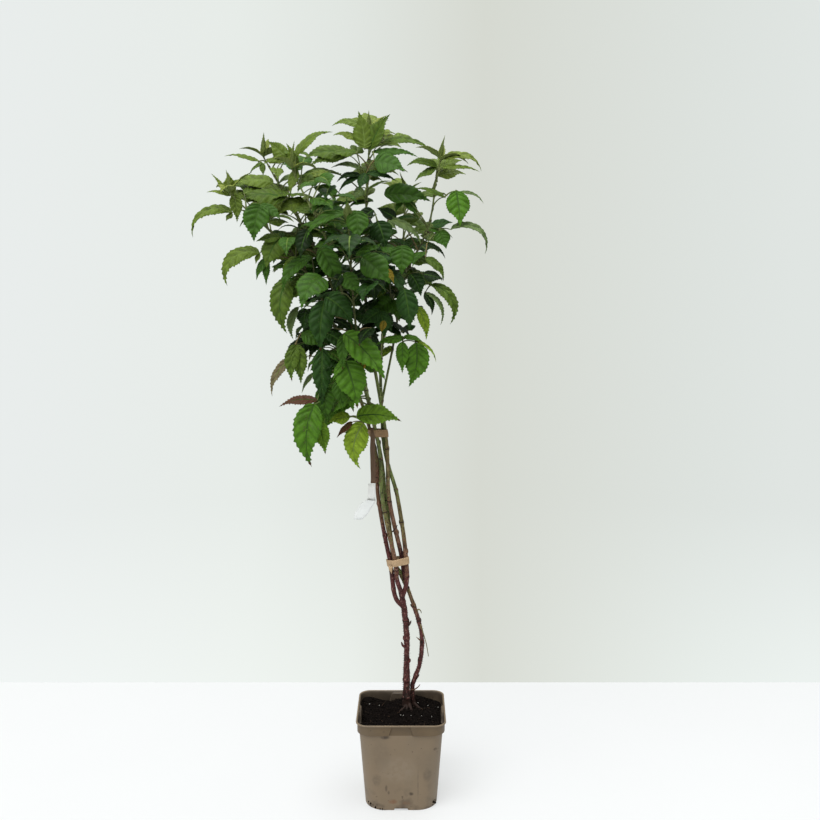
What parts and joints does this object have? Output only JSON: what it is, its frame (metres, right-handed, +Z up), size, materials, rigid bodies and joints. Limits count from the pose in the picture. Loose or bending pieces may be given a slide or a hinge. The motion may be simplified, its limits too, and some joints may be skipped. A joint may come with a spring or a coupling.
{
  "type": "potted raspberry plant",
  "caption": "Young raspberry plant with tall tied canes and a spreading leafy crown, growing in a square tapered nursery pot filled with dark compost.",
  "frame": {"origin": "middle of the flat underside of the pot, on the surface it stands on", "axes": "+Z up along the canes, +X to the right of the front view, +Y away from the front, square to the pot's sides"},
  "size_m": [0.4316, 0.4059, 1.0344],
  "materials": {
    "pot_plastic": "satin moulded plastic, taupe, with dust and scuffs",
    "compost": "dark crumbly compost with pale specks",
    "bark": "dark maroon brown bark with fine prickles",
    "cane": "smooth green to brown cane with nodes",
    "foliage": "matt green leaves with veins and toothed edges",
    "tape": "tan tying tape",
    "label": "blank white tag"
  },
  "bodies": {
    "root": {"pot": "pot_plastic", "soil": "compost", "stem_main": "bark", "stem_side": "bark", "bough_left": "cane", "bough_front_left": "cane", "bough_back_left": "cane", "bough_middle": "cane", "bough_right": "cane", "tie_lower": "tape", "tie_upper": "tape", "foliage_left": "foliage", "foliage_front_left": "foliage", "foliage_back_left": "foliage", "foliage_middle": "foliage", "foliage_right": "foliage", "foliage_back": "foliage", "foliage_front": "foliage", "tag_strip": "tape", "tag_label": "label"}
  },
  "joints": []
}
